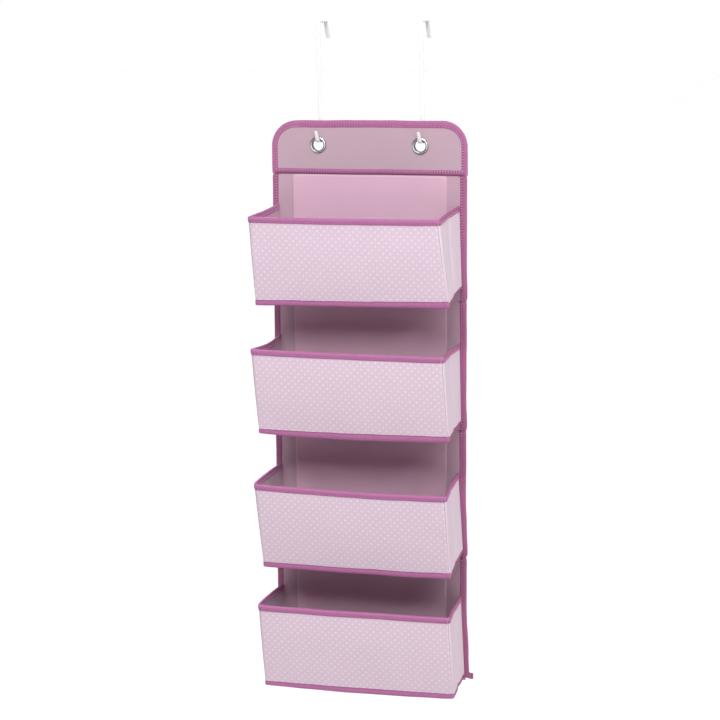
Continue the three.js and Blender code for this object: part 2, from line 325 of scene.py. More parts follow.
def dotted_cloth(name, colour, dot_colour, side_colour):
    """Cloth printed with small pale dots, sewn to the plain cloth of the sides at its corners.

    The dots are a rectangular lattice with a dot in each middle. The UV map runs 0 to 1 across.
    """
    graph = Graph(name)
    mixed, height, across, along, place = spunbond(graph, colour, "XZ")
    wobble = graph.ramp(graph.noise(place, 0.35, 1.0), 0.2, 0.8, -0.35, 0.35)
    worn = graph.ramp(graph.noise(place, 0.11, 3.0, 0.8), 0.3, 0.7, 0.45, 1.0)
    right = graph.math("DIVIDE", across, DOT_ACROSS)
    up = graph.math("DIVIDE", along, DOT_ALONG)
    steps = []
    for combined in (graph.math("ADD", right, up), graph.math("SUBTRACT", right, up)):
        steps.append(graph.math("SUBTRACT", combined, graph.math("ROUND", combined)))
    sideways = graph.times(graph.math("ADD", *steps), DOT_ACROSS / 2)
    upwards = graph.times(graph.math("SUBTRACT", *steps), DOT_ALONG / 2)
    away = graph.math("ADD", graph.length(sideways, upwards), wobble)
    dot = graph.ramp(away, DOT_RADIUS - DOT_BLUR, DOT_RADIUS + DOT_BLUR, 1.0, 0.0)
    mixed = graph.blend(graph.times(dot, worn), mixed, dot_colour + (1,))
    wall = graph.node("SeparateXYZ", {0: graph.place("UV")}).outputs[0]
    off_middle = graph.gap(wall, 0.5)
    mixed = graph.blend(graph.ramp(off_middle, SEAM, SEAM + 0.001), mixed, side_colour + (1,))
    # painted shade: a thin dark line along each seam, where the front turns into its side
    seam = graph.ramp(graph.gap(off_middle, SEAM), 0.0015, 0.004, 0.85, 0.0)
    mixed = graph.blend(seam, mixed, tint(colour, 0.5))
    height = graph.math("ADD", height, graph.times(dot, 0.3))
    return graph.finish(mixed, height, 0.84, CLOTH_SHEEN, CLOTH_RELIEF)


RIB_PITCH, WEFT_PITCH = 0.7, 0.5  # in millimetres


def woven_tape(name, colour, sewn=TAPE_LAP / MM, shaded=None):
    """Satin binding tape: fine ribs across it, mottled dye, and painted shade in pits between stitches.

    Its UV map holds the place along it and the distance from its free edge, negative on its far
    face. Between the two distances in shaded it is painted darker, as shade.
    """
    graph = Graph(name)
    along, across, place = graph.millimetres(graph.place("UV"))
    ribs = graph.math("SINE", graph.times(along, 2 * math.pi / RIB_PITCH))
    weft = graph.math("SINE", graph.times(across, 2 * math.pi / WEFT_PITCH))
    weave = graph.times(ribs, weft)
    from_edge = graph.math("ABSOLUTE", across)
    mixed = graph.blend(graph.noise(place, 0.12, 3.0), tint(colour, 0.84), tint(colour, 1.14))
    streak = graph.ramp(graph.noise(place, 2.5, 2.0), 0.35, 0.65, 0.0, 0.35)
    mixed = graph.blend(streak, mixed, tint(colour, 0.8))
    mixed = graph.blend(graph.ramp(weave, -1.0, 1.0, 0.16, 0.0), mixed, tint(colour, 0.6))
    # painted shade: the stitch row is darkened between stitches, as shade in the pits
    in_row = graph.ramp(graph.gap(from_edge, sewn), 0.5, 1.5, 0.75, 0.0)
    between = graph.math("COSINE", graph.times(along, 2 * math.pi * MM / STITCH_PITCH))
    painted_pit_shade = graph.times(in_row, graph.ramp(between, -0.3, 0.6, 0.25, 1.0))
    mixed = graph.blend(painted_pit_shade, mixed, tint(colour, 0.3))
    # painted shade: the cross tape is darker where it curves under the header's foot
    if shaded:
        mixed = graph.blend(graph.ramp(from_edge, *shaded, 0.0, 0.6), mixed, tint(colour, 0.3))
    return graph.finish(mixed, graph.times(weave, 0.5), 0.66, 0.06, 0.1 * MM)


def thread_material(name, colour):
    graph = Graph(name)
    twist = graph.node("TexWave", {"Vector": graph.place("Object"), "Scale": 900.0, "Distortion": 2.0})
    mixed = graph.blend(twist.outputs["Fac"], tint(colour, 0.8), tint(colour, 1.1))
    return graph.finish(mixed, twist.outputs["Fac"], 0.6, 0.3, 0.05 * MM)


def card_material(name):
    graph = Graph(name)
    pulp = graph.noise(graph.place("Object"), 420.0, 6.0)
    mixed = graph.blend(pulp, (0.36, 0.31, 0.25, 1), (0.5, 0.44, 0.36, 1))
    return graph.finish(mixed, pulp, 0.95, 0.0, 0.1 * MM)


def enamel(name):
    """White stoved paint on steel strip, faintly orange-peeled."""
    graph = Graph(name)
    place = graph.place("Object")
    peel = graph.noise(place, 260.0, 2.0)
    worn = graph.noise(place, 30.0, 4.0)
    mixed = graph.blend(worn, (0.62, 0.62, 0.62, 1), (0.68, 0.68, 0.68, 1))
    return graph.finish(mixed, peel, 0.45, 0.0, 0.03 * MM)


def plated(name):
    """Chrome plate with painted reflection: bright on top, dark down its sides, brighter in two places."""
    graph = Graph(name)
    place = graph.place("UV")
    split = graph.node("SeparateXYZ", {0: place})
    across, up = split.outputs[0], split.outputs[1]
    # painted reflection: the ring's sides are painted dark and its top bright, with two painted glints
    side = graph.ramp(graph.gap(graph.length(across, up), 0.86), 0.035, 0.12)
    turns = graph.times(graph.math("ARCTAN2", up, across), 2.0)
    glint = graph.math("SINE", graph.math("ADD", turns, 0.6))
    marks = graph.noise(place, 6.0, 3.0)
    lit = graph.times(graph.ramp(glint, -0.6, 0.8, 0.35, 1.0), graph.ramp(marks, 0.3, 0.7, 0.85, 1.1))
    top = graph.blend(lit, (0.16, 0.15, 0.16, 1), (0.9, 0.9, 0.92, 1))
    mixed = graph.blend(side, top, (0.07, 0.065, 0.07, 1))
    return graph.finish(mixed, marks, 0.28, 0.0, 0.01 * MM, metallic=1.0)


HEADER_COLOUR = (0.402, 0.291, 0.344)
BOARD_COLOUR = (0.545, 0.353, 0.45)
FRONT_COLOUR = (0.574, 0.472, 0.547)
DOT_COLOUR = (0.67, 0.59, 0.65)
GUSSET_COLOUR = (0.653, 0.548, 0.626)
TAPE_COLOUR = (0.385, 0.133, 0.29)
HEADER_TAPE_COLOUR = (0.355, 0.119, 0.255)
# painted shade: a darker copy of the binding colour, for the right sides' rims and the sides' base tapes
WALL_TAPE_SHADED_COLOUR = (0.36, 0.1, 0.24)
TIER_COLOUR = (0.425, 0.285, 0.35)
# painted shade: a darker copy of the binding colour, for the side bindings in the pockets' shade; the hem
# uses it too
SIDE_TAPE_SHADED_COLOUR = (0.315, 0.098, 0.205)
THREAD_COLOUR = (0.56, 0.24, 0.44)

header_cloth = cloth("header_cloth", HEADER_COLOUR, "XZ")
tier_cloth = back_cloth("tier_cloth", TIER_COLOUR, BOARD_COLOUR, BOARD_HALF)
lining_cloth = cloth("lining_cloth", TIER_COLOUR, "XZ")
front_cloth = dotted_cloth("front_cloth", FRONT_COLOUR, DOT_COLOUR, GUSSET_COLOUR)
inner_cloth = cloth("inner_cloth", TIER_COLOUR, "XZ")
inner_side_cloth = cloth("inner_side_cloth", TIER_COLOUR, "YZ")
side_cloth = cloth("side_cloth", GUSSET_COLOUR, "YZ")
floor_cloth = cloth("floor_cloth", GUSSET_COLOUR, "XY")
CROSS_SHADE = (CROSS_BAND / MM - 4.5, CROSS_BAND / MM - 1.4)
header_tape = woven_tape("header_tape", HEADER_TAPE_COLOUR)
cross_tape = woven_tape("cross_tape", HEADER_TAPE_COLOUR, shaded=CROSS_SHADE)
shaded_wall_tape = woven_tape("shaded_wall_tape", WALL_TAPE_SHADED_COLOUR)
shaded_side_tape = woven_tape("shaded_side_tape", SIDE_TAPE_SHADED_COLOUR)
rim_tape = woven_tape("rim_tape", TAPE_COLOUR)
# its stitch row lies 0.5 mm from its free edge, which paints a shadow line along the tape's top
base_tape = woven_tape("base_tape", TAPE_COLOUR, 0.5)
stitch_thread = thread_material("stitch_thread", THREAD_COLOUR)
card = card_material("card")
hook_paint = enamel("hook_paint")
grommet_metal = plated("grommet_metal")


# ---------------- mesh helpers
def ripple(x, y, seed):
    """Smooth noise between about -1 and 1, the same on every run."""
    return noise.noise(Vector((x, y, seed * 7.31)))


def ripples(xs, y, seed):
    """Smooth noise at each of xs."""
    return np.array([ripple(x, y, seed) for x in xs])


def unit(vectors):
    return vectors / np.maximum(np.linalg.norm(vectors, axis=-1, keepdims=True), 1e-12)


def smooth(x):
    x = np.clip(x, 0, 1)
    return x * x * (3 - 2 * x)


def lerp(a, b, share):
    return a + (b - a) * share


def spread(*runs):
    """Stations in even runs, each from a start to an end in a number of places."""
    return np.concatenate([np.linspace(*run) for run in runs])


def bell(x, middle, width):
    """1 at the middle, fading to nothing about two widths away."""
    return np.exp(-(((x - middle) / width) ** 2))


def bend(a, b, c, share):
    """A point of a curve from a to c that leans towards b."""
    return a * (1 - share) ** 2 + 2 * b * share * (1 - share) + c * share * share


def make_object(name, points, faces, material, uvs=None, sharp=50):
    mesh = bpy.data.meshes.new(name)
    mesh.from_pydata([tuple(p) for p in points], [], faces)
    if uvs is not None:
        layer = mesh.uv_layers.new(name="UVMap")
        corners = np.empty(len(mesh.loops), int)
        mesh.loops.foreach_get("vertex_index", corners)
        layer.data.foreach_set("uv", np.asarray(uvs, np.float32)[corners].ravel())
    work = bmesh.new()
    work.from_mesh(mesh)
    bmesh.ops.recalc_face_normals(work, faces=work.faces)
    return finish_object(mesh, work, material, sharp)


def finish_object(mesh, work, material, sharp):
    work.to_mesh(mesh)
    work.free()
    mesh.materials.append(material)
    mesh.shade_smooth()
    mesh.set_sharp_from_angle(angle=math.radians(sharp))
    return add_object(mesh.name, mesh)


def stand_in(node):
    """The piece is shown in place of a CAD node, which is hidden."""
    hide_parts(node)


def grid_normals(points):
    return unit(np.cross(np.gradient(points, axis=0), np.gradient(points, axis=1)))


def sheet(name, points, thickness, material, uvs=None):
    """A closed sheet: points is a grid on its outer face, and its inner face lies behind."""
    rows, columns = points.shape[:2]
    inner = points - grid_normals(points) * thickness
    stacked = np.concatenate([points.reshape(-1, 3), inner.reshape(-1, 3)])
    count = rows * columns
    faces = []
    for i in range(rows - 1):
        for j in range(columns - 1):
            a, b = i * columns + j, (i + 1) * columns + j
            faces.append((a, b, b + 1, a + 1))
            faces.append((count + a, count + a + 1, count + b + 1, count + b))
    at = np.arange(count).reshape(rows, columns)
    ring = np.concatenate([at[0], at[1:, -1], at[-1, -2::-1], at[-2:0:-1, 0]]).tolist()
    for a, b in zip(ring, ring[1:] + ring[:1]):
        faces.append((a, b, count + b, count + a))
    if uvs is not None:
        uvs = np.tile(uvs.reshape(-1, 2), (2, 1))
    return make_object(name, stacked, faces, material, uvs)


def fold_section(width, half):
    """The outline of tape folded over an edge, as (into the cloth, off its middle)."""
    lap = min(TAPE_LAP, 0.3 * width)
    profile = [
        (width, 0.60), (width - 0.25 * MM, 0.86), (width - 0.9 * MM, 0.92), (width - lap, 0.78),
        (width - lap - 0.8 * MM, 0.96), (0.5 * width, 1.04), (0.17 * width, 1.02),
        (0.06 * width, 0.88), (0.015 * width, 0.62), (0.0, 0.25),
    ]
    top = [(a, share * half) for a, share in profile]
    slot = 0.34 * half
    inside = [(width, -slot), (0.3 * width, -slot), (0.16 * width, 0), (0.3 * width, slot), (width, slot)]
    return top + [(a, -b) for a, b in reversed(top)] + inside


def path_lengths(points):
    steps = np.linalg.norm(np.diff(points, axis=0), axis=1)
    return np.concatenate([[0], np.cumsum(steps)])


def ring_faces(count, size, spans):
    """Faces that join rings of points, each to the next, as many times as there are spans."""
    faces = []
    for i in range(spans):
        a, b = i * size, (i + 1) % count * size
        faces += [(a + j, a + (j + 1) % size, b + (j + 1) % size, b + j) for j in range(size)]
    return faces


def tape(name, edge, inward, normal, width, half, material, seed):
    """Binding tape folded over an edge, slightly uneven along its length.

    inward leads into the cloth and normal off its front face. With the tape come the rows of
    stitches on its two faces, each as its points, their up directions and how far along it they are.
    """
    widths = np.broadcast_to(width, len(edge))
    inward, normal = (np.broadcast_to(way, edge.shape) for way in (inward, normal))
    along = path_lengths(edge)
    count, size = len(edge), len(fold_section(widths[0], half))
    points = np.empty((count, size, 3))
    uvs = np.empty((count, size, 2))
    for i in range(count):
        s = along[i]
        full = 1 + 0.10 * ripple(s * 45, 0, seed) + 0.05 * ripple(s * 230, 1, seed)
        reach = 1 + 0.035 * ripple(s * 60, 2, seed + 1)
        for j, (a, b) in enumerate(fold_section(widths[i], half)):
            points[i, j] = edge[i] + inward[i] * a * reach + normal[i] * b * full
            uvs[i, j] = (s, math.copysign(widths[i] - a, b))
    faces = ring_faces(count, size, count - 1)
    faces += [tuple(range(size)), tuple(range((count - 1) * size, count * size))]
    piece = make_object(name, points.reshape(-1, 3), faces, material, uvs.reshape(-1, 2))
    sewn = edge + inward * (widths - np.minimum(TAPE_LAP, 0.3 * widths))[:, None]
    lift = 0.79 * half + 0.42 * MM
    return piece, [(sewn + up * lift, up, along) for up in (normal, -normal)]


def partway(values, along, distance):
    """A path's value at a distance along it."""
    return np.array([np.interp(distance, along, values[:, k]) for k in range(3)])


BEAD_SIDES = 6


def stitches(name, rows):
    """Rows of separate thread stitches, each a short bead lying on the tape."""
    points, faces = [], []
    for line, up, along in rows:
        for n in range(int(along[-1] / STITCH_PITCH)):
            middle = (n + 0.5) * STITCH_PITCH
            here = partway(line, along, middle)
            way = unit(partway(line, along, middle + 0.4 * MM) - here)
            over = unit(partway(up, along, middle))
            across = np.cross(way, over)
            first = len(points)
            points.append(here - way * STITCH_LENGTH * 0.5 - over * 0.15 * MM)
            for share in (-0.34, 0.34):
                for m in range(BEAD_SIDES):
                    turn = 2 * math.pi * m / BEAD_SIDES
                    off = across * math.cos(turn) + over * 0.5 * math.sin(turn)
                    points.append(here + way * STITCH_LENGTH * share + off * STITCH_RADIUS)
            points.append(here + way * STITCH_LENGTH * 0.5 - over * 0.15 * MM)
            for m in range(BEAD_SIDES):
                a, b = first + 1 + m, first + 1 + (m + 1) % BEAD_SIDES
                faces.append((first, b, a))
                faces.append((a, b, b + BEAD_SIDES, a + BEAD_SIDES))
                faces.append((a + BEAD_SIDES, b + BEAD_SIDES, first + 1 + 2 * BEAD_SIDES))
    return make_object(name, points, faces, stitch_thread, sharp=80)


def encloses(loop, x, z):
    hit = False
    for (x0, z0), (x1, z1) in zip(loop, loop[1:] + loop[:1]):
        if (z0 > z) != (z1 > z) and x < (x1 - x0) * (z - z0) / (z1 - z0) + x0:
            hit = not hit
    return hit


def outline_plate(name, outline, holes, near, far, step, material, bulge=lambda x, z: 0.0):
    """A plate in X and Z with round holes, between y = near and y = far, bulging forwards."""
    def filled(x, z):
        return encloses(outline, x, z) and not any(encloses(hole, x, z) for hole in holes)

    flat, edges = [], []
    for loop in [outline] + holes:
        start = len(flat)
        flat += loop
        edges += [(start + i, start + (i + 1) % len(loop)) for i in range(len(loop))]
    xs, zs = [p[0] for p in outline], [p[1] for p in outline]
    for x in np.arange(min(xs) + step / 2, max(xs), step):
        for z in np.arange(min(zs) + step / 2, max(zs), step):
            if filled(x, z):
                flat.append((x, z))
    found = geometry.delaunay_2d_cdt([Vector(p) for p in flat], edges, [], 0, 1e-7)
    spots, triangles = [tuple(v) for v in found[0]], []
    for f in found[2]:
        if filled(*(sum(spots[i][k] for i in f) / len(f) for k in range(2))):
            triangles.append(tuple(f))
    count = len(spots)
    points = [(x, y - bulge(x, z), z) for y in (near, far) for x, z in spots]
    faces = triangles + [tuple(count + i for i in reversed(t)) for t in triangles]
    used = dict.fromkeys(pair for t in triangles for pair in zip(t, t[1:] + t[:1]))
    for a, b in used:
        if (b, a) not in used:
            faces.append((b, a, count + a, count + b))
    return make_object(name, points, faces, material)


def rounded_outline(half, top, foot, top_radius, foot_radius):
    """A rectangle in X and Z, anticlockwise from its lower right corner. Corners can be round."""
    points = []
    for cx, cz, radius, start in (
        (half - foot_radius, foot + foot_radius, foot_radius, -90),
        (half - top_radius, top - top_radius, top_radius, 0),
        (top_radius - half, top - top_radius, top_radius, 90),
        (foot_radius - half, foot + foot_radius, foot_radius, 180),
    ):
        for i in range(11 if radius > 0 else 1):
            turn = math.radians(start + 9 * i)
            points.append((cx + radius * math.cos(turn), cz + radius * math.sin(turn)))
    return points


# ---------------- hooks
HOOK_DROP = 0.17  # from the door's top to about the grommets
RUN_FRONT, RUN_FADE = -0.036, 0.012  # the bar's lean fades out along the run through the grommet
TIP_FACE, TIP_FOOT, TIP_HEIGHT = -0.031, -0.175, 0.013  # the tip is in front of its face
LIP_FACE, LIP_TOP, LIP_HEIGHT = 0.018, -0.002, 0.022  # the rear lip is behind its face


def settle_hook(corners, middle):
    """Lean the front bar outwards a little, narrow and lean the tip, and splay the rear lip."""
    for corner in corners:
        _, y, z = corner.co
        down = min(max(-z / HOOK_DROP, 0), 1)
        corner.co.x += lerp(-0.4 * MM, 3.0 * MM, down) * float(smooth((y - RUN_FRONT) / RUN_FADE))
        if y < TIP_FACE:
            rise = max(z - TIP_FOOT, 0) / TIP_HEIGHT
            corner.co.x = lerp(corner.co.x, middle + 2.5 * MM, 0.28 * min(rise * 2, 1)) - 2.6 * MM * rise
            corner.co.z += 1.6 * MM * rise
        if y > LIP_FACE:
            splay = max(LIP_TOP - z, 0) / LIP_HEIGHT
            corner.co.y += 5 * MM * splay
            corner.co.x += 1.6 * MM * splay


def make_hook(word):
    """The bent strip, with its sharp edges eased."""
    node = frame["nodes"][f"over_door_hook_{word}"]
    low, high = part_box(node.name)
    work = bmesh.new()
    work.from_mesh(node.data)
    bmesh.ops.remove_doubles(work, verts=work.verts, dist=1e-6)
    bmesh.ops.dissolve_limit(work, angle_limit=math.radians(1), verts=work.verts, edges=work.edges)
    corners = [e for e in work.edges if len(e.link_faces) == 2 and e.calc_face_angle() > math.radians(60)]
    bmesh.ops.bevel(work, geom=corners, offset=0.45 * MM, segments=3, profile=0.5, affect="EDGES")
    settle_hook(work.verts, (high.x + low.x) / 2)
    hook = finish_object(bpy.data.meshes.new(f"hook_strip_{word}"), work, hook_paint, 40)
    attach(hook, "hooks")
    stand_in(node.name)


# ---------------- header
def lathe(name, profile, centre, material):
    """A ring turned about the Y axis from a closed profile of (radius, y).

    Its UV map holds the place in XZ from the ring's centre, in units of the outer radius.
    """
    points, uvs = [], []
    outer = max(radius for radius, y in profile)
    sides = 72
    for i in range(sides):
        turn = 2 * math.pi * i / sides
        for radius, y in profile:
            points.append((centre.x + radius * math.cos(turn), y, centre.z + radius * math.sin(turn)))
            uvs.append((radius / outer * math.cos(turn), radius / outer * math.sin(turn)))
    return make_object(name, points, ring_faces(sides, len(profile), sides), material, uvs, sharp=40)


RING_WIDTH = 4 * MM
DOME = 1.2 * MM


def make_grommet(word):
    """A domed eyelet with a washer behind the header. Gives its centre and its hole's radius."""
    low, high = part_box(f"grommet_eyelet_{word}")
    centre = (low + high) / 2
    outer = (high.x - low.x) / 2
    hole = outer - RING_WIDTH
    front, back = low.y, high.y
    seat = front + 1.6 * MM
    ring = [(hole, back), (hole, front + DOME)]
    for i in range(9):
        turn = math.pi * i / 8
        radius = (hole + outer) / 2 - RING_WIDTH / 2 * math.cos(turn)
        ring.append((radius, front + DOME - DOME * math.sin(turn) ** 0.8))
    ring += [(outer, seat), (hole + 1 * MM, seat), (hole + 1 * MM, back)]
    eyelet = lathe(f"eyelet_{word}", ring, centre, grommet_metal)
    low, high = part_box(f"grommet_washer_{word}")
    outer, inner = (high.x - low.x) / 2, hole + 1.1 * MM
    flat = [(inner, high.y), (inner, low.y), (outer - 0.3 * MM, low.y), (outer, low.y + 0.3 * MM)]
    flat += [(outer - 0.4 * MM, high.y - 0.1 * MM), (inner + 0.5 * MM, high.y + 0.3 * MM)]
    washer = lathe(f"washer_{word}", flat, centre, grommet_metal)
    for piece, part in ((eyelet, "eyelet"), (washer, "washer")):
        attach(piece, "header")
        stand_in(f"grommet_{part}_{word}")
    return centre, hole


def arch_path(half, top, foot, radius):
    """The header's edge, from its left foot over the top to its right foot."""
    step = 4 * MM
    straight = np.linspace(foot, top - radius, max(2, int((top - radius - foot) / step)))
    left = [(-half, z) for z in straight[:-1]]
    turns = np.linspace(math.pi, math.pi / 2, 18)
    left += [(radius - half + radius * math.cos(t), top - radius + radius * math.sin(t)) for t in turns]
    across = np.linspace(radius - half, half - radius, int(2 * (half - radius) / step))
    flat = np.array(left + [(x, top) for x in across[1:-1]] + [(-x, z) for x, z in reversed(left)])
    return np.column_stack([flat[:, 0], np.full(len(flat), TAPE_MIDDLE), flat[:, 1]])


def settle_header(path):
    """The header's edge hangs a little low at its left end, and is drawn in at its right."""
    x, z = path[:, 0], path[:, 2]
    low = (1 - smooth((x + HALF) / HALF)) * smooth((z - HEADER_TOP) / (2 * CORNER) + 1)
    return np.column_stack([x - 1.1 * MM * smooth(x / HALF), path[:, 1], z - 1.3 * MM * low])


def header_bulge(x, z):
    """The header's cloth lies slightly uneven."""
    return 0.5 * MM * ripple(x * 14, z * 14, 3) + 0.25 * MM * ripple(x * 40, z * 40, 4)


def make_header_panel():
    """The header's cloth, with a hole for each grommet."""
    edge = 3.2 * MM
    outline = rounded_outline(HALF - edge, HEADER_TOP - edge, HEADER_FOOT + 2.5 * MM, CORNER - edge, 0)
    holes = []
    for word, _ in SIDES:
        centre, hole = make_grommet(word)
        reach = hole + 1.2 * MM
        turns = [2 * math.pi * i / 48 for i in range(48)]
        holes.append([(centre.x + reach * math.cos(t), centre.z + reach * math.sin(t)) for t in turns])
    near, far = STACK_FRONT + 0.2 * MM, STACK_BACK - 0.2 * MM
    name = "header_cloth_panel"
    panel = outline_plate(name, outline, holes, near, far, 5 * MM, header_cloth, header_bulge)
    stand_in("header_panel")
    return panel


def make_header():
    panel = make_header_panel()
    path = settle_header(arch_path(HALF, HEADER_TOP, HEADER_FOOT, CORNER))
    wave = 0.7 * MM * ripples(path_lengths(path) * 22, 5, 6)
    inward = unit(np.cross(unit(np.gradient(path, axis=0)), FORWARD))
    path = path + inward * wave[:, None]
    width = EDGE_BAND - 1.9 * MM * smooth((np.abs(path[:, 0]) - 0.75 * HALF) / (0.25 * HALF))
    arch, rows = tape("header_edge_tape", path, inward, FORWARD, width, TAPE_HALF, header_tape, 11)
    xs = np.linspace(-HALF + 5 * MM, HALF - 5 * MM, 76)
    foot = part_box("header_cross_binding")[0].z + 0.5 * MM * ripples(xs * 18, 1, 8)
    line = np.column_stack([xs, np.full(len(xs), TAPE_MIDDLE - 0.3 * MM), foot])
    cross, more = tape("header_foot_tape", line, UPWARD, FORWARD, CROSS_BAND, TAPE_HALF, cross_tape, 12)
    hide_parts("header_binding")
    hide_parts("header_cross_binding")
    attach(panel, "header")
    for piece in (arch, cross, stitches("header_stitches", rows + more)):
        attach(piece, "header")


# ---------------- the back of a tier
def board_relief(x, z, top, foot):
    """1 over the card, 0 beside it, with round corners and a soft shoulder."""
    radius, shoulder = 8 * MM, 1.6 * MM
    top, foot = top - 1.5 * MM, foot + 6 * MM
    mid, tall = (top + foot) / 2, (top - foot) / 2
    dx = abs(x) - (BOARD_HALF - radius)
    dz = abs(z - mid) - (tall - radius)
    outside = math.hypot(max(dx, 0), max(dz, 0)) + min(max(dx, dz), 0) - radius
    return float(smooth(0.5 - outside / shoulder))


def back_grid(half, top, foot, plane, raised, seed, facing):
    """A cloth face of a tier's back: raised over the card, and not quite flat."""
    near, far = BOARD_HALF - 2.2 * MM, BOARD_HALF + 2.2 * MM
    xs = spread(
        (-half, -BOARD_HALF - 6 * MM, 6), (-far, -near, 7), (8 * MM - BOARD_HALF, BOARD_HALF - 8 * MM, 36),
        (near, far, 7), (BOARD_HALF + 6 * MM, half, 6),
    )
    zs = spread(
        (foot, foot, 1), (foot + 2 * MM, foot + 10 * MM, 7), (foot + 16 * MM, top - 16 * MM, 26),
        (top - 10 * MM, top - 2 * MM, 7), (top, top, 1),
    )
    points = np.empty((len(xs), len(zs), 3))
    for i, x in enumerate(xs):
        for j, z in enumerate(zs):
            calm = smooth(min(half - abs(x), top - z, z - foot) / (14 * MM))
            wave = 0.7 * MM * ripple(x * 9, z * 13, seed) + 0.3 * MM * ripple(x * 30, z * 34, seed + 1)
            off = raised * board_relief(x, z, top, foot) + wave * float(calm)
            points[i, j] = (x, plane + facing * off, z)
    return points if facing < 0 else points[::-1]


UPPER_FOOT, UPPER_FADE = -0.6, 0.2  # the right binding is drawn in above this height,
HEM_RISE, HEM_FADE = -0.9, 0.07  # stands out below this one
PINCH, PINCH_REACH = -0.724, 0.035  # and is drawn in round this one


def edge_bulge(zs, floor, side, seed):
    """How far a side binding stands out: fuller at a pocket's floor, drawn in at the folds."""
    out = 1.2 * MM * bell(zs, floor, 22 * MM)
    if side > 0:
        out -= 1.5 * MM * (1 - smooth((UPPER_FOOT - zs) / UPPER_FADE))
        out += 3.2 * MM * smooth((HEM_RISE - zs) / HEM_FADE) - 1.4 * MM * bell(zs, PINCH, PINCH_REACH)
    nipped = 1.3 * MM * bell(np.minimum(zs - zs[0], zs[-1] - zs), 0, 1.6 * MM)
    return out - nipped + 0.5 * MM * ripples(zs * 25, 0, seed) - 0.4 * MM


def make_edge(k, word, side):
    """A tier's side binding, with its rows of stitches."""
    low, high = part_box(f"edge_binding_{word}_{k}")
    zs = np.linspace(low.z + 0.2 * MM, high.z - 0.2 * MM, 50)
    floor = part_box(f"gusset_left_{k}")[0].z
    out = edge_bulge(zs, floor, side, 40 + k + side)
    lean = 0.4 * MM * ripples(zs * 16, 2, 44 + k + side)
    line = np.column_stack([side * (HALF + out), TAPE_MIDDLE + lean, zs])
    width = EDGE_BAND - (1.2 * MM if side > 0 else 2.2 * MM)
    name = f"edge_tape_{word}_{k}"
    strip, rows = tape(name, line, (-side, 0, 0), FORWARD, width, TAPE_HALF, shaded_side_tape, 50 + k)
    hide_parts(f"edge_binding_{word}_{k}")
    return strip, rows


SAG_START = 0.08  # the hem rises towards its right end from here


def make_hem():
    """The tape under the last tier, with its loose end past the right edge, and its stitches."""
    low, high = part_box("bottom_hem")
    xs = np.linspace(-HALF - 0.5 * MM, high.x + 2.5 * MM, 80)
    loose = smooth((xs - HALF) / (high.x - HALF))
    rise = 5 * MM * smooth((xs - SAG_START) / (HALF - SAG_START))
    sag = 0.5 * MM * ripples(xs * 15, 0, 61) + rise - 1.2 * MM * loose
    line = np.column_stack([xs, TAPE_MIDDLE - 0.5 * MM - 1.5 * MM * loose, low.z + sag])
    height = high.z - low.z + 2 * MM
    hem, rows = tape("foot_tape", line, UPWARD, FORWARD, height, TAPE_HALF + 0.4 * MM, shaded_side_tape, 62)
    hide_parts("bottom_hem")
    return hem, rows


def make_tier(k):
    low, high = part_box(f"back_lining_{k}")
    top, foot = high.z, low.z
    half = HALF - 2 * MM
    outer = back_grid(half, top, foot, STACK_FRONT + 0.9 * MM, 1.1 * MM, 20 + k, -1)
    front = sheet(f"back_cloth_{k}", outer, 0.7 * MM, tier_cloth)
    stand_in(f"back_panel_{k}")
    outer = back_grid(half, top, foot, STACK_BACK - 0.5 * MM, 0.5 * MM, 30 + k, 1)
    rear = sheet(f"rear_cloth_{k}", outer, CLOTH, lining_cloth)
    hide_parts(f"back_lining_{k}")
    low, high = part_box(f"back_board_{k}")
    outline = rounded_outline(high.x, high.z, low.z, 9 * MM, 9 * MM)
    board = outline_plate(f"back_card_{k}", outline, [], low.y, high.y, 25 * MM, card)
    stand_in(f"back_board_{k}")
    tapes = [make_edge(k, word, side) for word, side in SIDES]
    if k == TIERS[-1]:
        tapes.append(make_hem())
    sewn_on = [strip for strip, _ in tapes]
    sewn_on.append(stitches(f"tier_stitches_{k}", [row for _, rows in tapes for row in rows]))
    for piece in [front, rear, board] + sewn_on:
        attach(piece, f"tier_{k}")


def make_fold(index, lower):
    """The strip of cloth that stays whole across a fold."""
    pivot = Vector(next(j for j in frame["joints"] if j["child"] == lower)["pos_m"])
    reach = 7 * MM
    zs = np.linspace(pivot.z - reach, pivot.z + reach, 15)
    xs = np.linspace(-HALF + 3 * MM, HALF - 3 * MM, 60)
    points = np.array([[(x, STACK_FRONT + 1.6 * MM, z) for z in zs] for x in xs])
    strip = sheet(f"fold_cloth_{index}", points, CLOTH, lining_cloth)
    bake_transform(strip)


# ---------------- pockets
CORNER_TURN = 0.045  # the share of a front's width that each of its round corners takes


def ends(pairs, index, base=0.0, half=0.0):
    """Places of the left (-1) and right (1) end of a line, which have moved by millimetres."""
    return {side: base + side * half + pair[index] * MM for side, pair in zip((-1, 1), pairs)}


